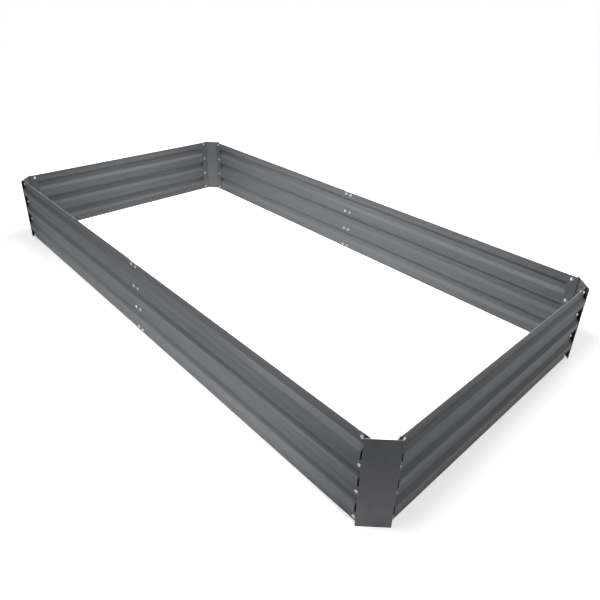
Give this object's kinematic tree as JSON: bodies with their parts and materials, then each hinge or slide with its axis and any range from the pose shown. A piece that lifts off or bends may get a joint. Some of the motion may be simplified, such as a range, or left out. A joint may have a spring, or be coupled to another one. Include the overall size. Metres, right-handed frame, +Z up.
{
  "type": "raised garden bed",
  "caption": "Low rectangular raised garden bed of dark grey ridged sheet steel, open at top and bottom, with slanted corner pieces and bolted joints.",
  "frame": {"origin": "middle of the footprint, on the ground under the bottom edges of the sheets", "axes": "+X along the long sides, +Y across the bed from the front long side to the rear one, +Z up"},
  "size_m": [2.4, 1.2, 0.305],
  "materials": {
    "panel_steel": "satin dark grey coating on steel sheet",
    "corner_steel": "satin dark grey coating on steel sheet",
    "bolt_zinc": "bright zinc plate",
    "washer_zinc": "dull zinc plate",
    "nut_zinc": "bright zinc plate"
  },
  "bodies": {
    "root": {"bolts_front_left": "bolt_zinc", "bolts_front_middle": "bolt_zinc", "bolts_front_right": "bolt_zinc", "bolts_left_front": "bolt_zinc", "bolts_left_rear": "bolt_zinc", "bolts_rear_left": "bolt_zinc", "bolts_rear_middle": "bolt_zinc", "bolts_rear_right": "bolt_zinc", "bolts_right_front": "bolt_zinc", "bolts_right_rear": "bolt_zinc", "corner_front_left": "corner_steel", "corner_front_right": "corner_steel", "corner_rear_left": "corner_steel", "corner_rear_right": "corner_steel", "end_panel_left": "panel_steel", "end_panel_right": "panel_steel", "nuts_front_left": "nut_zinc", "nuts_front_middle": "nut_zinc", "nuts_front_right": "nut_zinc", "nuts_left_front": "nut_zinc", "nuts_left_rear": "nut_zinc", "nuts_rear_left": "nut_zinc", "nuts_rear_middle": "nut_zinc", "nuts_rear_right": "nut_zinc", "nuts_right_front": "nut_zinc", "nuts_right_rear": "nut_zinc", "panel_front_left": "panel_steel", "panel_front_right": "panel_steel", "panel_rear_left": "panel_steel", "panel_rear_right": "panel_steel", "washers_front_left": "washer_zinc", "washers_front_middle": "washer_zinc", "washers_front_right": "washer_zinc", "washers_left_front": "washer_zinc", "washers_left_rear": "washer_zinc", "washers_rear_left": "washer_zinc", "washers_rear_middle": "washer_zinc", "washers_rear_right": "washer_zinc", "washers_right_front": "washer_zinc", "washers_right_rear": "washer_zinc"}
  },
  "joints": []
}
